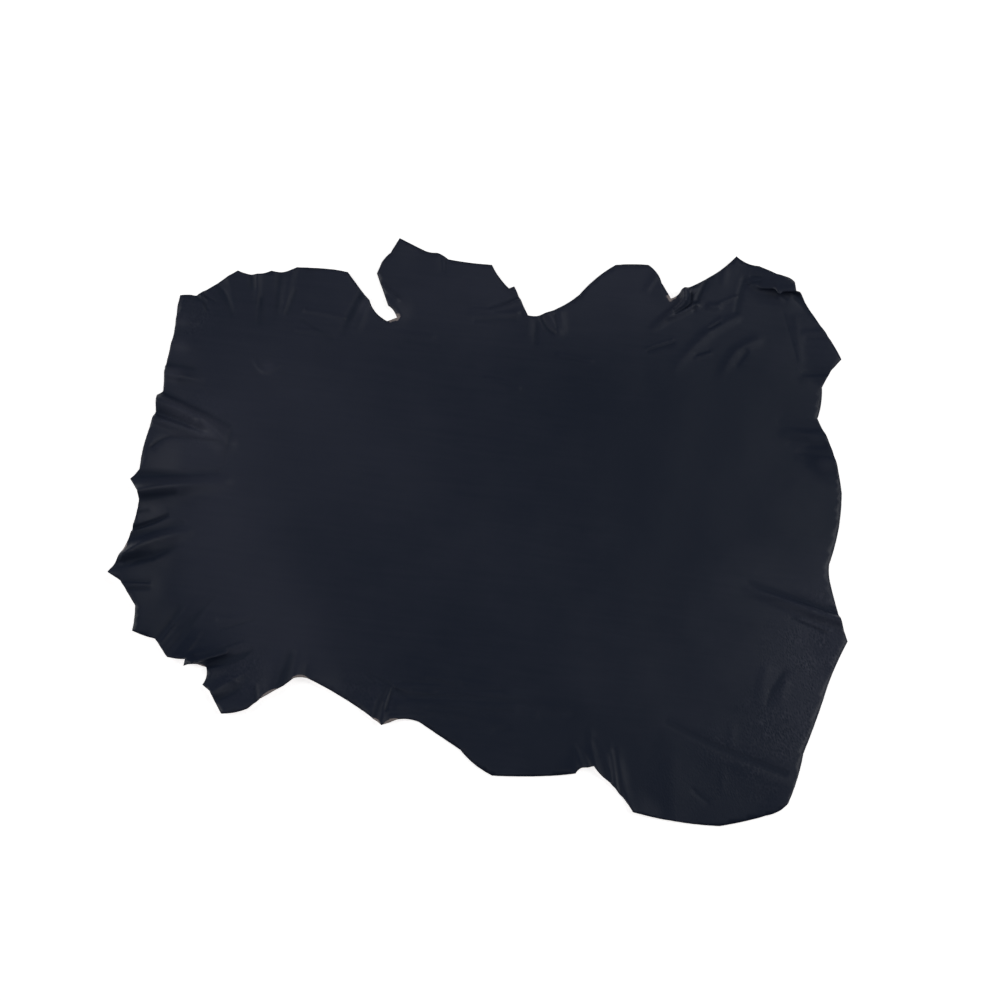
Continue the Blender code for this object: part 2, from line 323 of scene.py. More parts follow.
NEAR_CREASES = (
    Fold(-251, -224, -2.6, -241, -182, -1.2, 13, 0),
    Fold(-221, -216, -1, -220, -198, -0.5, 5, 0),
    Fold(-134, -270, -1.8, -127, -244, -1.6, 7, 0),
    Fold(-127, -244, -1.6, -117, -226, -0.8, 6, 0),
    Fold(-112, -229, -1.2, -119, -256, -1.6, 3, 0),
    Fold(-141, -207, -0.8, -113, -222, -1.2, 4, 0),
    Fold(-145, -208, -0.6, -133, -219, -0.8, 4, 0),
    Fold(-111, -227, -1.6, -92, -237, -1.6, 4, 0),
    Fold(-92, -237, -1.6, 49, -244, -1, 5, 1),
    Fold(-86, -228, -0.6, 28, -229, -0.5, 3, 0),
    Fold(-100, -218, -0.6, -20, -221, -0.5, 3, 0),
    Fold(-66, -252, -0.7, 40, -257, -0.5, 4, 0),
    Fold(49, -244, -0.9, 97, -262, -0.3, 6, 2),
    Fold(-66, -214, -0.8, -30, -224, -0.6, 5, 0),
    Fold(-41, -266, -1, -15, -268, -0.8, 4, 0),
    Fold(78, -261, -0.9, 114, -261, -0.9, 8, 0),
    Fold(19, -280, -1.2, 31, -281, -1, 3, 0),
    Fold(138, -336, -1.6, 129, -314, -1.4, 6, 0),
    Fold(129, -314, -1.4, 121, -298, -0.5, 6, 0),
    Fold(158, -344, -1.8, 149, -314, -1.4, 8, 0),
    Fold(149, -314, -1.4, 142, -294, -0.5, 7, 0),
    Fold(167, -356, -1.1, 163, -313, -0.5, 4, -1),
    Fold(178, -372, -1.5, 169, -306, -0.5, 5, 1),
    Fold(236, -271, -0.6, 302, -305, -1.3, 7, -1),
    Fold(302, -305, -1.3, 380, -336, -1.8, 7, 0),
    Fold(266, -358, -0.7, 282, -372, -0.7, 5, -1),
)

RIGHT_CREASES = (
    Fold(464, -132, -3.5, 420, -113, -2.5, 6, 0),
    Fold(420, -113, -2.5, 345, -86, -0.5, 7, -1),
    Fold(462, -123, -1.4, 437, -117, -0.8, 4, 0),
    Fold(398, -134, -0.8, 436, -152, -1, 4, 0),
    Fold(448, 127, -1, 398, 138, -0.8, 12, 0),
    Fold(462, 86, -1, 420, 95, -0.6, 9, 0),
    Fold(448, 103, -1, 408, 106, -0.7, 7, 0),
    Fold(462, 258, -0.7, 434, 257, -0.4, 6, 0),
    Fold(462, 205, -0.8, 428, 206, -0.5, 6, 0),
    Fold(405, 292, -0.2, 420, 224, -0.2, 4, 0),
    Fold(386, -206, -1.5, 371, -230, -2.2, 8, 0),
    Fold(371, -230, -2.2, 364, -246, -0.9, 7, 0),
)

FAR_CREASES = (
    Fold(363, 348, -0.9, 376, 346, -1, 3, 0),
    Fold(356, 336, -0.9, 375, 339, -1, 3, 0),
    Fold(422, 318, -3, 440, 297, -2, 8, 1),
    Fold(398, 322, -1.5, 408, 313, -0.8, 4, 0),
    Fold(354, 344, -1, 342, 296, -0.9, 6, -1),
    Fold(318, 279, -1.2, 305, 271, -1, 3, 0),
    Fold(352, 237, -0.9, 340, 220, -0.7, 7, 0),
    Fold(281, 320, -2.2, 274, 302, -2.2, 5, 1),
    Fold(274, 302, -2.2, 259, 292, -1.2, 4, 0),
    Fold(302, 340, -1.6, 292, 319, -1.5, 5, 0),
    Fold(292, 319, -1.5, 285, 299, -1, 5, 0),
    Fold(222, 239, -0.7, 256, 250, -0.7, 3, 0),
    Fold(287, 234, -0.6, 303, 239, -0.6, 4, 0),
    Fold(80, 286, -1.6, 97, 264, -1, 5, -3),
    Fold(98, 290, -1.3, 101, 271, -1, 3, 0),
    Fold(74, 278, -1, 72, 250, -0.6, 7, 0),
    Fold(50, 318, -1.6, 12, 302, -0.9, 5, 1),
    Fold(45, 284, -0.9, -8, 283, -0.6, 6, 0),
    Fold(-48, 378, -1.2, -49, 354, -0.8, 3, 0),
    Fold(-55, 378, -0.9, -53, 355, -0.6, 3, 0),
    Fold(-100, 254, -0.3, -57, 245, -0.3, 6, 0),
    Fold(-158, 326, -1.8, -176, 288, -1.8, 10, 0),
    Fold(-176, 288, -1.8, -184, 266, -0.7, 10, 0),
    Fold(-240, 284, -0.7, -200, 257, -0.5, 6, 0),
    Fold(-271, 348, -1, -275, 294, -0.6, 9, 0),
    Fold(-249, 326, -0.9, -260, 294, -0.8, 7, 0),
    Fold(-310, 352, -1.5, -307, 332, -1.1, 9, 0),
    Fold(-295, 314, -1.5, -296, 282, -0.9, 9, 0),
    Fold(-360, 340, -1.8, -349, 325, -1.5, 6, 0),
    Fold(-349, 325, -1.5, -334, 293, -0.6, 8, 1),
    Fold(-386, 320, -1.6, -367, 299, -1, 5, 2),
    Fold(-378, 323, -2, -358, 311, -0.9, 3, 0),
)

FOLDS = LEFT_FOLDS + NEAR_FOLDS + RIGHT_FOLDS + FAR_FOLDS
CREASES = LEFT_CREASES + NEAR_CREASES + RIGHT_CREASES + FAR_CREASES

# A fold whose crest leans over its own foot: its line, its reach and how far it leans each way
Lean = namedtuple("Lean", "x1 y1 x2 y2 reach lean_x lean_y")

LEANS = (
    Lean(376, 333, 400, 330, 8, 0, -6),
    Lean(402, 331, 428, 330, 12, -3, -11),
    Lean(-366, -192, -326, -177, 8, 2, -5),
)

# A place where the skin stands off the floor, its height and how far the rise reaches
Lift = namedtuple("Lift", "x y height reach")

LIFTS = (
    Lift(-420, 310, 5, 60),
    Lift(-430, 215, 6, 70),
    Lift(-450, 130, 9, 85),
    Lift(-470, 50, 17, 95),
    Lift(-478, -45, 16, 95),
    Lift(-465, -140, 12, 85),
    Lift(-385, -215, 9, 75),
    Lift(-325, -280, 9, 75),
    Lift(-235, -240, 9, 75),
    Lift(-130, -290, 6, 60),
    Lift(140, -345, 5, 50),
    Lift(190, -400, 4, 45),
    Lift(395, -395, 4, 55),
    Lift(480, -165, 5, 65),
    Lift(470, 90, 4, 50),
    Lift(485, 230, 5, 60),
    Lift(410, 355, 9, 65),
    Lift(345, 385, 4, 45),
    Lift(262, 335, 4, 45),
    Lift(70, 305, 3, 45),
    Lift(-115, 410, 4, 50),
    Lift(-122, 300, 4, 35),
    Lift(-190, 365, 3, 45),
    Lift(-310, 365, 5, 55),
)

# A round patch of the skin, its reach and how strong its effect is
Patch = namedtuple("Patch", "x y reach strength")

# Where the pale flesh shows past the grain at the cut edge, and how wide it is
BARE_EDGES = (
    Patch(-459, -42, 10, 3.0),
    Patch(-354, -200, 8, 3.0),
    Patch(-266, -236, 16, 3.5),
    Patch(-228, -214, 14, 3.5),
    Patch(-131, -270, 10, 3.0),
    Patch(-112, -271, 12, 4.5),
    Patch(-118, 285, 9, 3.0),
    Patch(256, 317, 7, 3.0),
)

# Where the grain is loose and pebbled; its pebbles also get painted highlights where they rise and painted
# shade where they sink
LOOSE_GRAIN = (
    Patch(420, -185, 90, 1.0),
    Patch(385, -275, 90, 1.0),
    Patch(320, -330, 90, 0.8),
    Patch(240, -360, 70, 0.5),
    Patch(455, -120, 60, 0.6),
    Patch(-375, 140, 60, 0.5),
    Patch(-300, -205, 60, 0.6),
    Patch(-150, -240, 60, 0.4),
    Patch(-390, 290, 60, 0.5),
)

# How pale the dye is over most of the skin, and where it is paler or darker: partly dye that took
# unevenly, partly painted sheen, as on the broad pale left side and in the small pale patches on fold
# crests
DYE_TONE = 0.255
DYE_AND_SHEEN_PATCHES = (
    # painted sheen: the broad pale band over the left side
    Patch(-333, 60, 240, 0.14),
    Patch(-390, 120, 75, 0.22),
    Patch(-340, 115, 100, 0.14),
    Patch(-345, 30, 110, 0.20),
    Patch(-325, -60, 110, 0.22),
    Patch(-280, -135, 95, 0.22),
    Patch(-215, -190, 80, 0.12),
    Patch(-405, -175, 90, -0.26),
    Patch(-440, -80, 80, -0.10),
    Patch(-240, 250, 220, 0.12),
    Patch(-160, 350, 160, 0.14),
    Patch(0, 345, 170, 0.30),
    Patch(180, 345, 150, 0.22),
    Patch(455, -110, 110, 0.18),
    Patch(445, -220, 130, 0.28),
    Patch(220, 100, 330, -0.26),
    Patch(380, 60, 190, -0.20),
    Patch(10, -240, 260, -0.20),
    Patch(170, -340, 150, -0.24),
    Patch(250, -380, 120, -0.28),
    Patch(300, -250, 180, -0.16),
    Patch(430, 180, 160, -0.12),
    Patch(-430, 230, 80, 0.16),
    # painted highlights: small pale patches on the crests of folds
    Patch(-400, 281, 15, 0.35),
    Patch(-402, 246, 20, 0.40),
    Patch(-408, 202, 20, 0.40),
    Patch(-157, 303, 16, 0.35),
    Patch(-284, 214, 14, 0.30),
    Patch(98, 281, 20, 0.22),
    Patch(-400, 148, 30, 0.20),
    Patch(-362, 126, 28, 0.35),
    Patch(440, 117, 22, 0.30),
    Patch(450, 80, 22, 0.30),
    Patch(205, -372, 60, -0.20),
    Patch(95, -285, 60, -0.16),
    Patch(460, 20, 110, -0.16),
    Patch(330, -390, 110, -0.24),
    Patch(210, -90, 170, -0.14),
    Patch(315, 90, 170, -0.20),
    Patch(115, -300, 70, -0.16),
    Patch(190, -385, 60, -0.18),
    Patch(458, 250, 55, 0.24),
    Patch(462, 60, 40, 0.16),
    Patch(-300, 200, 200, 0.10),
    Patch(-150, 110, 160, 0.12),
    Patch(-250, -150, 90, 0.14),
    Patch(250, 330, 150, 0.14),
)


def bowed(start, end, bow, parts):
    """The points of a shallow arc from start up to, but without, end, swelling by bow to its left."""
    across = Vector((start.y - end.y, end.x - start.x)).normalized()
    points = []
    for part in range(parts):
        share = part / parts
        points.append(start.lerp(end, share) + across * (4 * bow * share * (1 - share)))
    return points


def waver(point, size, length, seed):
    """A smooth random number for a place, up to about size either way."""
    return size * noise.noise(Vector((point[0] / length, point[1] / length, seed)))


def outline():
    """The skin's rim, clockwise from above, a little ragged from the knife."""
    corners = FAR_EDGE + RIGHT_EDGE + NEAR_EDGE + LEFT_EDGE
    points = []
    for index, corner in enumerate(corners):
        start = Vector(corners[index - 1][:2])
        end = Vector(corner[:2])
        parts = max(1, round((end - start).length / EDGE_STEP))
        points += bowed(start, end, corner.bow, parts)
    ragged = []
    for point in points:
        shift_x = waver(point, RAGGED, RAGGED_LENGTH, 3.0)
        shift_y = waver(point, RAGGED, RAGGED_LENGTH, 8.0)
        ragged.append((point.x + shift_x, point.y + shift_y))
    return np.array(ragged)


def from_segment(points, start, end):
    """How far each point lies from a straight segment, and how far along it is its nearest place."""
    way = end - start
    share = np.clip((points - start) @ way / (way @ way), 0, 1)
    return np.linalg.norm(points - (start + share[:, None] * way), axis=1), share


def from_fold(points, fold, parts=6):
    """The same for a fold, whose middle line is bowed."""
    start = Vector((fold.x1, fold.y1))
    end = Vector((fold.x2, fold.y2))
    line = np.array(bowed(start, end, fold.bow, parts) + [end])
    nearest = np.full(len(points), np.inf)
    along = np.zeros(len(points))
    for part in range(parts):
        distance, share = from_segment(points, line[part], line[part + 1])
        closer = distance < nearest
        nearest = np.where(closer, distance, nearest)
        along = np.where(closer, (part + share) / parts, along)
    return nearest, along


def near_fold(points, fold, margin):
    """The indices of the points that lie in a box round a fold."""
    reach = abs(fold.bow) + margin
    low = np.array((min(fold.x1, fold.x2), min(fold.y1, fold.y2))) - reach
    high = np.array((max(fold.x1, fold.x2), max(fold.y1, fold.y2))) + reach
    return np.nonzero(((points > low) & (points < high)).all(axis=1))[0]


def swell(distance, reach):
    """A smooth hump, 1 at its middle and nothing from reach on."""
    share = np.minimum(distance / reach, 1)
    return (1 - share**2) ** 2


def ridge(distance, reach):
    """A fold's cross section: a thin round crest, 1 high, with hollow flanks that end at reach."""
    share = np.minimum(distance / reach, 1)
    rounded = (np.hypot(share, CREST_ROUNDNESS) - CREST_ROUNDNESS) / (
        np.hypot(1, CREST_ROUNDNESS) - CREST_ROUNDNESS
    )
    return (1 - rounded) ** FLANK_HOLLOW


def relief(points, folds):
    """How far the folds rise, or the creases sink, at each point. Where two meet, they run together."""
    total = np.zeros(len(points))
    for fold in folds:
        near = near_fold(points, fold, fold.half_width)
        if len(near):
            distance, along = from_fold(points[near], fold)
            crest = abs(fold.height1 + (fold.height2 - fold.height1) * along)
            total[near] += (crest * ridge(distance, fold.half_width)) ** MEETING
    return total ** (1 / MEETING)


def leant(points):
    """The points of the skin from above, shifted where a fold's crest leans over."""
    shifted = points.copy()
    for lean in LEANS:
        distance = from_segment(points, np.array(lean[0:2]), np.array(lean[2:4]))[0]
        shifted += ridge(distance, lean.reach)[:, None] * np.array(lean[5:7])
    return shifted


def waves(points):
    """The faint unevenness of a skin that lies almost flat."""
    heights = []
    for point in points:
        slow = 0.5 * WAVE_HEIGHT + waver(point, WAVE_HEIGHT, WAVE_LENGTH, 1.0)
        quick = 0.5 * RIPPLE_HEIGHT + waver(point, RIPPLE_HEIGHT, RIPPLE_LENGTH, 5.0)
        heights.append(slow + quick)
    return np.array(heights)


def height(points):
    """How high the underside stands off the floor at each point."""
    total = waves(points)
    for lift in LIFTS:
        distance = np.hypot(points[:, 0] - lift.x, points[:, 1] - lift.y)
        total += lift.height * swell(distance, lift.reach)
    total += relief(points, FOLDS) - relief(points, CREASES)
    return np.maximum(total, 0)


def lattice(step, corner_low, corner_high):
    """A triangular grid of points over a box."""
    row_step = step * np.sqrt(3) / 2
    rows = []
    for row, y in enumerate(np.arange(corner_low[1], corner_high[1], row_step)):
        offset = step / 2 if row % 2 else 0
        across = np.arange(corner_low[0] + offset, corner_high[0], step)
        rows.append(np.column_stack([across, np.full(len(across), y)]))
    return np.concatenate(rows)


def inside(points, rim):
    """Which points lie inside the rim."""
    crossings = np.zeros(len(points), int)
    order = np.argsort(points[:, 1])
    x, y = points[order].T
    for (x1, y1), (x2, y2) in zip(rim, np.roll(rim, -1, axis=0)):
        if y1 != y2:
            level = slice(*np.searchsorted(y, (min(y1, y2), max(y1, y2))))
            crossings[order[level]] += x[level] < x1 + (x2 - x1) * (y[level] - y1) / (y2 - y1)
    return crossings % 2 == 1


def from_rim(points, rim):
    """How far each point lies from the rim, up to RIM_REACH."""
    nearest = np.full(len(points), RIM_REACH)
    order = np.argsort(points[:, 0])
    across = points[order, 0]
    for start, end in zip(rim, np.roll(rim, -1, axis=0)):
        low = np.searchsorted(across, min(start[0], end[0]) - RIM_REACH)
        high = np.searchsorted(across, max(start[0], end[0]) + RIM_REACH)
        near = order[low:high]
        nearest[near] = np.minimum(nearest[near], from_segment(points[near], start, end)[0])
    return nearest


def folded(points, folds, margin):
    """Which points lie on one of the folds, or within margin of one."""
    found = np.zeros(len(points), bool)
    for fold in folds:
        near = near_fold(points, fold, fold.half_width + margin)
        if len(near):
            found[near] |= from_fold(points[near], fold)[0] < fold.half_width + margin
    return found


def within_rim(points, rim, step):
    """The points that lie inside the rim and clear of it."""
    points = points[inside(points, rim)]
    return points[from_rim(points, rim) > EDGE_CLEARANCE * step]


def sheet_points(rim):
    """Points over the skin: fine at its creases, coarser at its folds and coarsest where it lies flat."""
    low, high = rim.min(axis=0), rim.max(axis=0)
    fine = lattice(CREASE_STEP, low, high)
    fine = fine[folded(fine, CREASES, 0)]
    middling = lattice(FOLD_STEP, low, high)
    middling = middling[folded(middling, FOLDS, FOLD_MARGIN)]
    middling = middling[~folded(middling, CREASES, EDGE_CLEARANCE * CREASE_STEP)]
    coarse = lattice(FLAT_STEP, low, high)
    coarse = coarse[~folded(coarse, FOLDS, FOLD_MARGIN + EDGE_CLEARANCE * FOLD_STEP)]
    coarse = coarse[~folded(coarse, CREASES, FOLD_MARGIN)]
    return np.concatenate([
        within_rim(fine, rim, CREASE_STEP),
        within_rim(middling, rim, FOLD_STEP),
        within_rim(coarse, rim, FLAT_STEP),
    ])


def patched(points, patches):
    """The effect that each patch has at each point, a row per patch."""
    rows = []
    for patch in patches:
        distance = np.hypot(points[:, 0] - patch.x, points[:, 1] - patch.y)
        rows.append(patch.strength * swell(distance, patch.reach))
    return np.array(rows)


def give_values(mesh, name, values):
    """Stores a number at each point of a mesh, for its material to read."""
    attribute = mesh.attributes.new(name, "FLOAT", "POINT")
    attribute.data.foreach_set("value", values.astype(np.float32))


def node(tree, kind, values=None, **settings):
    """Adds a node. A value that is a socket is linked, and any other is set."""
    made = tree.nodes.new(kind)
    for name, value in settings.items():
        setattr(made, name, value)
    for name, value in (values or {}).items():
        if isinstance(value, bpy.types.NodeSocket):
            tree.links.new(value, made.inputs[name])
        else:
            made.inputs[name].default_value = value
    return made


def math(tree, operation, first, second=0.0):
    return node(tree, "ShaderNodeMath", {0: first, 1: second}, operation=operation).outputs[0]


def between(tree, share, low, high):
    """Turns a share from 0 to 1 into a value from low to high."""
    made = node(tree, "ShaderNodeMapRange", {"Value": share, "To Min": low, "To Max": high})
    return made.outputs["Result"]


def blend(tree, share, first, second):
    """Mixes two colours."""
    made = node(tree, "ShaderNodeMix", data_type="RGBA")
    for index, value in ((0, share), (6, first), (7, second)):
        if isinstance(value, bpy.types.NodeSocket):
            tree.links.new(value, made.inputs[index])
        else:
            made.inputs[index].default_value = value
    return made.outputs[2]


def new_group(name, inputs, outputs):
    """An empty shader group with number inputs and outputs, and its two end nodes."""
    tree = bpy.data.node_groups.new(name, "ShaderNodeTree")
    for label, value in inputs.items():
        socket = tree.interface.new_socket(label, in_out="INPUT", socket_type="NodeSocketFloat")
        socket.default_value = value
    for label in outputs:
        tree.interface.new_socket(label, in_out="OUTPUT", socket_type="NodeSocketFloat")
    return tree, tree.nodes.new("NodeGroupInput"), tree.nodes.new("NodeGroupOutput")


def stretched_place(tree, along, across, turn):
    """The object's own coordinates, scaled along and across a direction."""
    coordinates = node(tree, "ShaderNodeTexCoord").outputs["Object"]
    scale = node(tree, "ShaderNodeCombineXYZ", {"X": along, "Y": across, "Z": along}).outputs[0]
    values = {"Vector": coordinates, "Rotation": (0, 0, turn)}
    turned = node(tree, "ShaderNodeMapping", values).outputs[0]
    product = node(tree, "ShaderNodeVectorMath", {0: turned, 1: scale}, operation="MULTIPLY")
    return product.outputs[0]


def skin_mottle_group():
    """Cloudy patches and long faint streaks, which run along the backbone."""
    inputs = {"Cloud Scale": 9.0, "Streak Length Scale": 10.0, "Streak Width Scale": 170.0}
    tree, ins, outs = new_group("skin mottle", inputs, ("Cloud", "Streak"))
    scale = ins.outputs["Cloud Scale"]
    cloud_place = stretched_place(tree, scale, scale, 0.0)
    values = {"Vector": cloud_place, "Scale": 1.0, "Detail": 5.0, "Roughness": 0.6}
    cloud = node(tree, "ShaderNodeTexNoise", values).outputs["Fac"]
    streak_place = stretched_place(
        tree, ins.outputs["Streak Length Scale"], ins.outputs["Streak Width Scale"], radians(8)
    )
    values = {"Vector": streak_place, "Scale": 1.0, "Detail": 3.0, "Distortion": 0.4}
    streak = node(tree, "ShaderNodeTexNoise", values).outputs["Fac"]
    tree.links.new(cloud, outs.inputs["Cloud"])
    tree.links.new(streak, outs.inputs["Streak"])
    return tree


def grain_pebble_group():
    """The grain's small flat pebbles with fine lines between them, and its hair pores."""
    inputs = {"Pebble Scale": 900.0, "Looseness": 0.0}
    tree, ins, outs = new_group("grain pebble", inputs, ("Height", "Loose"))
    place = node(tree, "ShaderNodeTexCoord").outputs["Object"]
    scale = ins.outputs["Pebble Scale"]
    cells = node(
        tree,
        "ShaderNodeTexVoronoi",
        {"Vector": place, "Scale": scale, "Randomness": 1.0},
        feature="DISTANCE_TO_EDGE",
    ).outputs["Distance"]
    pebble = between(tree, cells, 0.0, 3.0)
    loose_width = math(tree, "MULTIPLY", scale, 0.5)
    loose_length = math(tree, "MULTIPLY", scale, 0.32)
    puckers = node(
        tree,
        "ShaderNodeTexVoronoi",
        {"Vector": stretched_place(tree, loose_width, loose_length, radians(-12)), "Scale": 1.0},
        feature="SMOOTH_F1",
    ).outputs["Distance"]
    puckered = math(tree, "SUBTRACT", puckers, 0.4)
    values = {"Vector": place, "Scale": math(tree, "MULTIPLY", scale, 0.06), "Detail": 2.0}
    patchy = between(tree, node(tree, "ShaderNodeTexNoise", values).outputs["Fac"], -0.6, 2.4)
    looseness = math(tree, "MULTIPLY", ins.outputs["Looseness"], patchy)
    loose = math(tree, "MULTIPLY", puckered, looseness)
    pores = node(
        tree, "ShaderNodeTexVoronoi", {"Vector": place, "Scale": math(tree, "MULTIPLY", scale, 0.6)}
    ).outputs["Distance"]
    pore = node(
        tree, "ShaderNodeMapRange", {"Value": pores, "From Min": 0.16, "From Max": 0.05}
    ).outputs["Result"]
    height = math(tree, "SUBTRACT", math(tree, "MULTIPLY", loose, 14.0), pore)
    tree.links.new(math(tree, "ADD", height, pebble), outs.inputs["Height"])
    # the rise of the loose pebbles, also used to paint highlights and shade on them
    tree.links.new(loose, outs.inputs["Loose"])
    return tree


def flesh_nap_group():
    """Short matted fibres, as on suede."""
    inputs = {"Fibre Scale": 500.0}
    tree, ins, outs = new_group("flesh nap", inputs, ("Height", "Tone"))
    scale = ins.outputs["Fibre Scale"]
    place = stretched_place(tree, scale, math(tree, "MULTIPLY", scale, 3.0), radians(35))
    values = {"Vector": place, "Scale": 1.0, "Detail": 4.0, "Distortion": 1.5}
    fibre = node(tree, "ShaderNodeTexNoise", values).outputs["Fac"]
    clump_scale = math(tree, "MULTIPLY", scale, 0.08)
    clump_place = stretched_place(tree, clump_scale, clump_scale, 0.0)
    values = {"Vector": clump_place, "Scale": 1.0, "Detail": 3.0}
    clump = node(tree, "ShaderNodeTexNoise", values).outputs["Fac"]
    tree.links.new(fibre, outs.inputs["Height"])
    both = math(tree, "ADD", fibre, clump)
    tree.links.new(math(tree, "MULTIPLY", both, 0.5), outs.inputs["Tone"])
    return tree


def new_material(name):
    material = bpy.data.materials.new(name)
    material.use_nodes = True
    return material, material.node_tree, material.node_tree.nodes["Principled BSDF"]


def place_group(tree, group, values=None):
    return node(tree, "ShaderNodeGroup", values, node_tree=group)


DYE_DARK = (0.0085, 0.0140, 0.0300, 1.0)
# the pale dye colour, which also carries the painted sheen
DYE_PALE_AND_SHEEN = (0.0385, 0.0430, 0.0660, 1.0)
FLESH_PALE = (0.36, 0.31, 0.30, 1.0)
FLESH_GREY = (0.20, 0.175, 0.175, 1.0)
CUT_DARK = (0.010, 0.011, 0.016, 1.0)
CUT_PALE = (0.024, 0.024, 0.028, 1.0)


def grain_side(mottle, pebble, nap):
    """The dyed grain side: satin, cloudy, finely grained, and bare flesh at a few places along the rim.
    Its colour also holds painted shade in the creases, painted sheen patches and painted highlights and
    shade on the loose pebbles.
    """
    material, tree, shader = new_material("navy grain side")
    clouds = place_group(tree, mottle)
    loose = node(tree, "ShaderNodeAttribute", attribute_name="loose grain").outputs["Fac"]
    bare = node(tree, "ShaderNodeAttribute", attribute_name="bare edge").outputs["Fac"]
    tone = node(tree, "ShaderNodeAttribute", attribute_name="dye tone and sheen").outputs["Fac"]
    crease_dull_and_shade = node(tree, "ShaderNodeAttribute", attribute_name="crease_dull_and_shade").outputs["Fac"]
    grain = place_group(tree, pebble, {"Looseness": loose})
    fibres = place_group(tree, nap)
    cloudy = math(tree, "ADD", tone, between(tree, clouds.outputs["Cloud"], -0.18, 0.18))
    streaky = math(tree, "ADD", cloudy, between(tree, clouds.outputs["Streak"], -0.10, 0.10))
    # painted highlights and shade: the dye is paler where the loose grain rises and darker where it sinks
    pebble_highlighted = math(tree, "ADD", streaky, math(tree, "MULTIPLY", grain.outputs["Loose"], 1.2))
    # painted shade: the dye is darkened along the creases, where shade falls
    crease_shaded = math(tree, "SUBTRACT", pebble_highlighted, math(tree, "MULTIPLY", crease_dull_and_shade, 0.45))
    dye = blend(tree, crease_shaded, DYE_DARK, DYE_PALE_AND_SHEEN)
    flesh = blend(tree, fibres.outputs["Tone"], FLESH_GREY, FLESH_PALE)
    ragged = math(tree, "MULTIPLY_ADD", fibres.outputs["Height"], 0.6)
    ragged.node.inputs[2].default_value = -0.3
    torn = math(tree, "ADD", bare, ragged)
    shows = node(
        tree, "ShaderNodeMapRange", {"Value": torn, "From Min": 0.42, "From Max": 0.58}
    ).outputs["Result"]
    tree.links.new(blend(tree, shows, dye, flesh), shader.inputs["Base Color"])
    rough = between(tree, clouds.outputs["Streak"], 0.37, 0.45)
    dull = math(tree, "ADD", math(tree, "MULTIPLY", shows, 0.4), math(tree, "MULTIPLY", crease_dull_and_shade, 0.3))
    tree.links.new(math(tree, "ADD", rough, dull), shader.inputs["Roughness"])
    height = math(tree, "ADD", grain.outputs["Height"], clouds.outputs["Streak"])
    bump = node(tree, "ShaderNodeBump", {"Height": height, "Strength": 0.3, "Distance": 0.0001})
    tree.links.new(bump.outputs["Normal"], shader.inputs["Normal"])
    shader.inputs["Specular IOR Level"].default_value = 0.25
    return material


def flesh_side(mottle, nap):
    """The undyed suede underside."""
    material, tree, shader = new_material("pale flesh side")
    clouds = place_group(tree, mottle, {"Cloud Scale": 14.0})
    fibres = place_group(tree, nap)
    tone = math(tree, "MULTIPLY_ADD", clouds.outputs["Cloud"], 0.7)
    tree.links.new(math(tree, "MULTIPLY", fibres.outputs["Tone"], 0.4), tone.node.inputs[2])
    tree.links.new(blend(tree, tone, FLESH_GREY, FLESH_PALE), shader.inputs["Base Color"])
    shader.inputs["Roughness"].default_value = 0.95
    shader.inputs["Sheen Weight"].default_value = 0.3
    bump = node(
        tree, "ShaderNodeBump", {"Height": fibres.outputs["Height"], "Strength": 0.6, "Distance": 0.0003}
    )
    tree.links.new(bump.outputs["Normal"], shader.inputs["Normal"])
    return material


def cut_edge(nap):
    """The knife's cut through the skin: dark dyed and paler fibres, mixed by a fibre pattern."""
    material, tree, shader = new_material("knife cut edge")
    fibres = place_group(tree, nap, {"Fibre Scale": 900.0})
    tree.links.new(blend(tree, fibres.outputs["Tone"], CUT_DARK, CUT_PALE), shader.inputs["Base Color"])
    shader.inputs["Roughness"].default_value = 0.9
    bump = node(
        tree, "ShaderNodeBump", {"Height": fibres.outputs["Height"], "Strength": 0.6, "Distance": 0.0002}
    )
    tree.links.new(bump.outputs["Normal"], shader.inputs["Normal"])
    return material


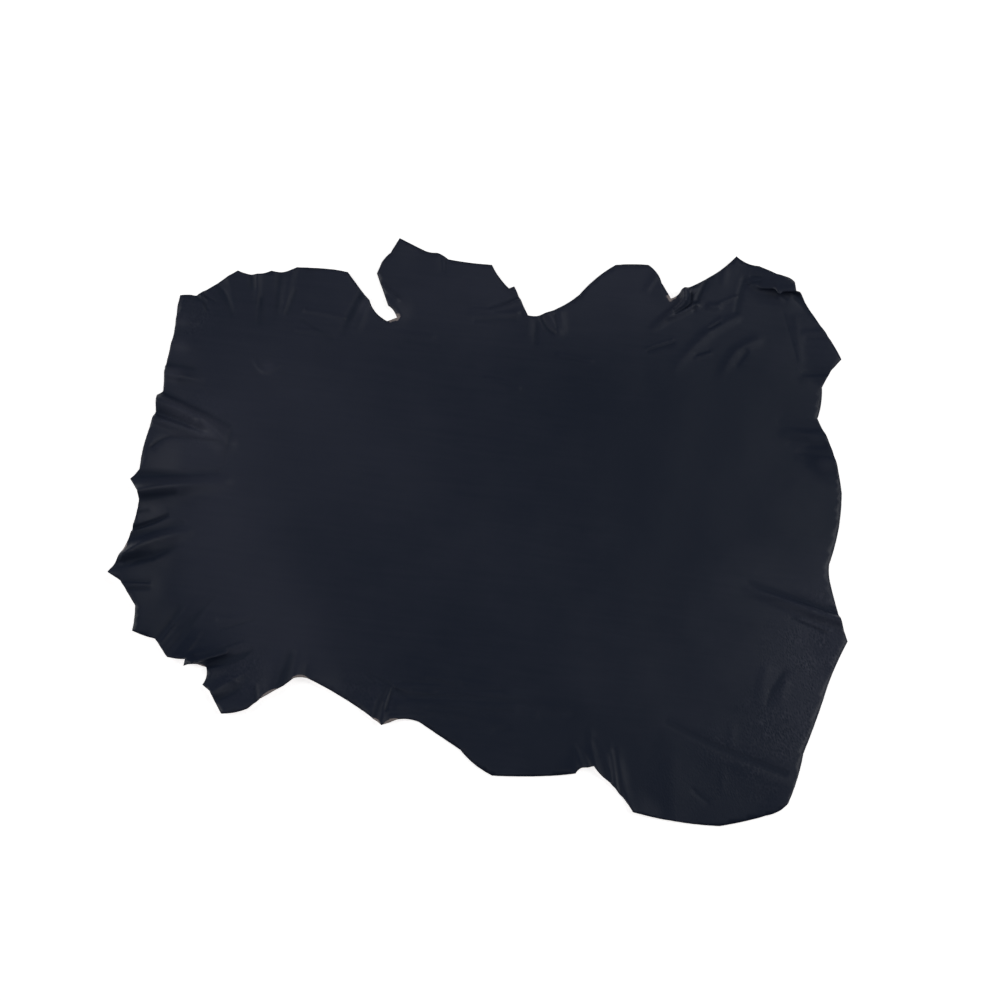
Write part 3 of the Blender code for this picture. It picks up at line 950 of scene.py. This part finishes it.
def skin(materials):
    """The whole skin: the grain surface from the tables, given its thickness downwards."""
    rim = outline()
    count = len(rim)
    flat = np.concatenate([rim, sheet_points(rim)])
    border = [(index, (index + 1) % count) for index in range(count)]
    made = delaunay_2d_cdt([Vector(point) for point in flat], border, [], 1, MERGE)
    flat = np.array([tuple(point) for point in made[0]])
    faces = []
    for a, b, c in made[2]:
        turn = np.cross(flat[b] - flat[a], flat[c] - flat[a])
        faces.append((a, b, c) if turn > 0 else (a, c, b))
    points = np.column_stack([leant(flat), height(flat) + THICKNESS])
    points[:, :2] -= (rim.min(axis=0) + rim.max(axis=0)) / 2

    mesh = bpy.data.meshes.new("skin sheet")
    mesh.from_pydata((points * MM).tolist(), [], faces)
    mesh.shade_smooth()
    depth = from_rim(flat, rim)
    bare_width = patched(flat, BARE_EDGES).max(axis=0)
    bare = np.clip(1 - depth / np.maximum(bare_width * 2, 0.01), 0, 1) * np.minimum(bare_width, 1)
    give_values(mesh, "bare edge", bare)
    # how deep each crease is, for its dullness and its painted shade
    give_values(mesh, "crease_dull_and_shade", np.clip(relief(flat, CREASES) / CREASE_DULL_AND_SHADE_DEPTH, 0, 1))
    give_values(mesh, "loose grain", patched(flat, LOOSE_GRAIN).max(axis=0))
    # the dye's tone, with the painted sheen patches added
    give_values(mesh, "dye tone and sheen", DYE_TONE + patched(flat, DYE_AND_SHEEN_PATCHES).sum(axis=0))
    for material in materials:
        mesh.materials.append(material)

    sheet = bpy.data.objects.new("skin_sheet", mesh)
    bpy.context.scene.collection.objects.link(sheet)
    wall = sheet.modifiers.new("thickness", "SOLIDIFY")
    wall.thickness = THICKNESS * MM
    wall.offset = -1
    wall.material_offset = 1
    wall.material_offset_rim = 2
    graph = bpy.context.evaluated_depsgraph_get()
    sheet.data = bpy.data.meshes.new_from_object(sheet.evaluated_get(graph))
    sheet.modifiers.clear()
    return sheet, rim


# The camera looks down from the near side, as far off as this many picture widths
CAMERA_HEIGHT_ANGLE = 70.0
CAMERA_DISTANCE = 2.4
PICTURE_WIDTH = 1.303
AIM = Vector((0.0255, 0.0271, 0.0))
SENSOR = 36.0

# The light table under the skin glows this much
FLOOR_GLOW = 0.65


def look(place, target):
    return (Vector(target) - Vector(place)).to_track_quat("-Z", "Y").to_euler()


def camera():
    angle = radians(CAMERA_HEIGHT_ANGLE)
    place = AIM + CAMERA_DISTANCE * PICTURE_WIDTH * Vector((0, -cos(angle), sin(angle)))
    data = bpy.data.cameras.new("camera")
    data.sensor_width = SENSOR
    data.lens = SENSOR * CAMERA_DISTANCE
    made = bpy.data.objects.new("camera", data)
    made.location = place
    made.rotation_euler = look(place, AIM)
    bpy.context.scene.collection.objects.link(made)
    bpy.context.scene.camera = made


def softbox(name, place, width, length, power, colour=(1, 1, 1)):
    data = bpy.data.lights.new(name, "AREA")
    data.shape = "RECTANGLE"
    data.size = width
    data.size_y = length
    data.energy = power
    data.color = colour
    made = bpy.data.objects.new(name, data)
    made.location = place
    made.rotation_euler = look(place, (0, 0, 0))
    bpy.context.scene.collection.objects.link(made)


def studio():
    """A pale glowing floor, a big softbox low on each side and two weak ones overhead."""
    world = bpy.data.worlds.new("studio")
    world.use_nodes = True
    background = world.node_tree.nodes["Background"]
    background.inputs["Color"].default_value = (1, 1, 1, 1)
    background.inputs["Strength"].default_value = 0.10
    bpy.context.scene.world = world
    softbox("right softbox", (3.0, 0.2, 1.9), 2.0, 2.0, 40)
    softbox("left softbox", (-3.0, 0.4, 1.7), 2.0, 2.0, 40)
    softbox("key softbox", (1.8, 1.6, 4.1), 1.1, 1.1, 15)
    softbox("top softbox", (-0.5, -1.4, 4.4), 1.4, 1.4, 9)

    mesh = bpy.data.meshes.new("floor")
    half = 6.0
    corners = [(-half, -half, 0), (half, -half, 0), (half, half, 0), (-half, half, 0)]
    mesh.from_pydata(corners, [], [(0, 1, 2, 3)])
    floor = bpy.data.objects.new("floor", mesh)
    floor.location.z = cad_low[2] - 0.0002
    material, _, shader = new_material("pale floor")
    shader.inputs["Base Color"].default_value = (0.9, 0.9, 0.9, 1)
    shader.inputs["Roughness"].default_value = 0.8
    shader.inputs["Emission Color"].default_value = (1, 1, 1, 1)
    shader.inputs["Emission Strength"].default_value = FLOOR_GLOW
    mesh.materials.append(material)
    bpy.context.scene.collection.objects.link(floor)


mottle = skin_mottle_group()
pebble = grain_pebble_group()
nap = flesh_nap_group()
sheet, rim = skin((grain_side(mottle, pebble, nap), flesh_side(mottle, nap), cut_edge(nap)))
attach(sheet, "root")
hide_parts("skin")
camera()
studio()
bpy.context.scene.view_settings.view_transform = "Standard"
